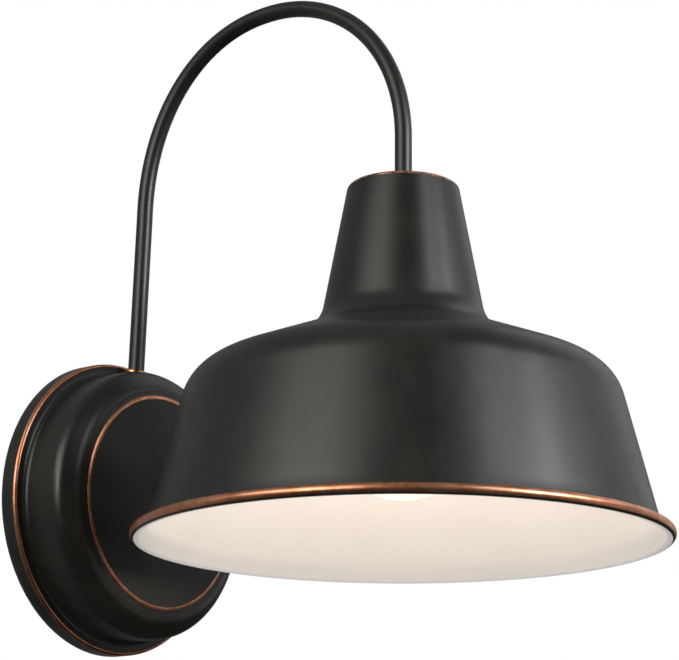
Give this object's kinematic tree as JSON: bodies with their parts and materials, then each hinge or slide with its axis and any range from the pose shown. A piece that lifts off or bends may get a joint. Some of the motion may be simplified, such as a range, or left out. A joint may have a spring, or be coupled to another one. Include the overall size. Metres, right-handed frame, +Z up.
{
  "type": "outdoor wall lantern",
  "caption": "Gooseneck barn-style outdoor wall light: stepped round wall canopy, bent tube arm, spun metal shade with rolled rim, and a screw-in bulb.",
  "frame": {"origin": "centre of the canopy's wall face, on the wall plane", "axes": "+Z up, +Y into the wall, -Y out from the wall towards the shade, +X to the right when facing the wall"},
  "size_m": [0.2032, 0.2534, 0.2675],
  "materials": {
    "bronze_finish": "satin, oil-rubbed bronze with rubbed copper edges",
    "white_enamel": "semi-gloss baked white, inside the shade",
    "copper_edge": "burnished copper",
    "zinc_steel": "zinc plated",
    "green_screw": "green passivated",
    "brass_contact": "bright",
    "bulb_base_metal": "satin nickel colour",
    "gasket_foam": "matte closed-cell foam",
    "silicone_seal": "matte",
    "porcelain": "glazed",
    "frosted_glass": "frosted",
    "clear_glass": "clear",
    "black_glass": "gloss",
    "tungsten": "dull",
    "black_insulation": "satin",
    "white_insulation": "satin",
    "green_insulation": "satin",
    "yellow_connector": "gloss",
    "green_connector": "gloss"
  },
  "bodies": {
    "fixture": {"arm_collar": "copper_edge", "arm_nut": "zinc_steel", "arm_tube": "bronze_finish", "arm_washer": "zinc_steel", "box_screw_left": "zinc_steel", "box_screw_right": "zinc_steel", "canopy": "bronze_finish", "canopy_lock_screw": "bronze_finish", "ground_screw": "green_screw", "ground_wire": "green_insulation", "ground_wire_nut": "green_connector", "line_terminal_screw": "brass_contact", "line_wire": "black_insulation", "line_wire_nut": "yellow_connector", "mounting_strap": "zinc_steel", "neck_nut": "zinc_steel", "neck_seal": "silicone_seal", "neck_washer": "zinc_steel", "neutral_terminal_screw": "brass_contact", "neutral_wire": "white_insulation", "neutral_wire_nut": "yellow_connector", "shade": "bronze_finish", "socket_body": "porcelain", "socket_cap": "zinc_steel", "socket_contact": "brass_contact", "socket_nut": "zinc_steel", "socket_shell": "brass_contact", "wall_gasket": "gasket_foam"},
    "bulb_tip": {"bulb_contact": "brass_contact"},
    "bulb": {"bulb_glass": "frosted_glass", "bulb_stem": "clear_glass", "bulb_filament": "tungsten", "bulb_base": "bulb_base_metal", "bulb_insulator": "black_glass"}
  },
  "joints": [
    {"name": "bulb_drop", "type": "slide", "parent": "fixture", "child": "bulb_tip", "axis": [0, 0, -1], "range_m": [0, 0.02]},
    {"name": "bulb_turn", "type": "hinge", "parent": "bulb_tip", "child": "bulb", "pos_m": [0, -0.1518, 0], "axis": [0, 0, -1], "range_deg": [0, 1980]}
  ],
  "couplings": [
    {"joint": "bulb_drop", "follows": "bulb_turn", "m_per_rad": 0.00057755}
  ]
}
